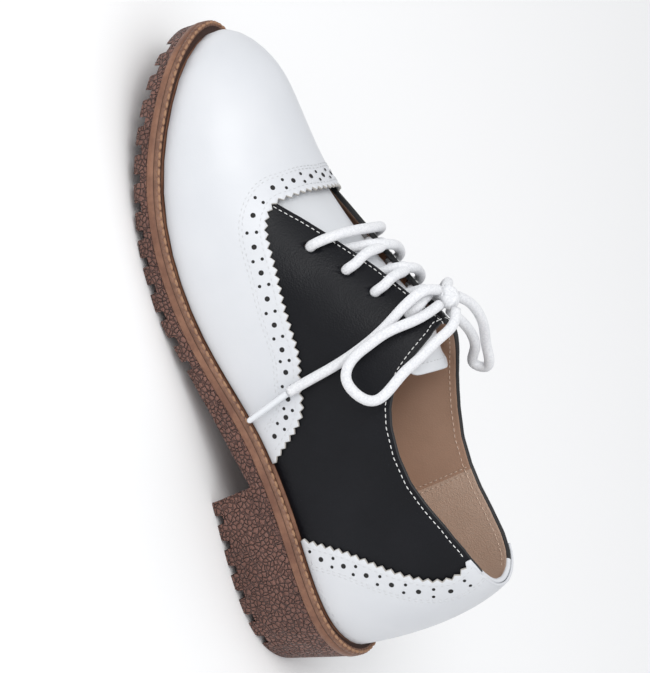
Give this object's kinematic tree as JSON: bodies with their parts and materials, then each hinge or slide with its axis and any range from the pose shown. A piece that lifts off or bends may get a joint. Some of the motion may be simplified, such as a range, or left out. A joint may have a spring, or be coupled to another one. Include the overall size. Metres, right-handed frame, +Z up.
{
  "type": "saddle shoe",
  "caption": "Left saddle shoe in white and black leather with pinked, punched edges, white lace tied in a bow, tan welt, lugged rubber sole and block heel",
  "frame": {"origin": "bottom centre of the box round the shoe without the bow and lace ends", "axes": "+X from heel to toe, +Y to the outer (lateral) side of this left shoe, +Z up"},
  "size_m": [0.27, 0.0932, 0.1143],
  "materials": {
    "sole_rubber": "matt, pebbled",
    "welt_strip": "satin, ribbed on top",
    "insole_lining": "matt lining leather",
    "black_leather": "smooth, satin",
    "white_leather": "smooth, satin",
    "tongue_leather": "smooth, satin",
    "lace": "round braid",
    "aglet": "clear film over the braid"
  },
  "bodies": {
    "root": {"outsole": "sole_rubber", "welt": "welt_strip", "insole": "insole_lining", "upper": "black_leather", "vamp": "white_leather", "heel_foxing": "white_leather", "tongue": "tongue_leather", "lace_bar": "lace", "lace_cross_low": "lace", "lace_cross_mid": "lace", "lace_cross_top": "lace", "lace_knot": "lace", "lace_loop_lateral": "lace", "lace_loop_medial": "lace", "lace_end_lateral": "lace", "lace_end_medial": "lace", "aglet_lateral": "aglet", "aglet_medial": "aglet"}
  },
  "joints": []
}
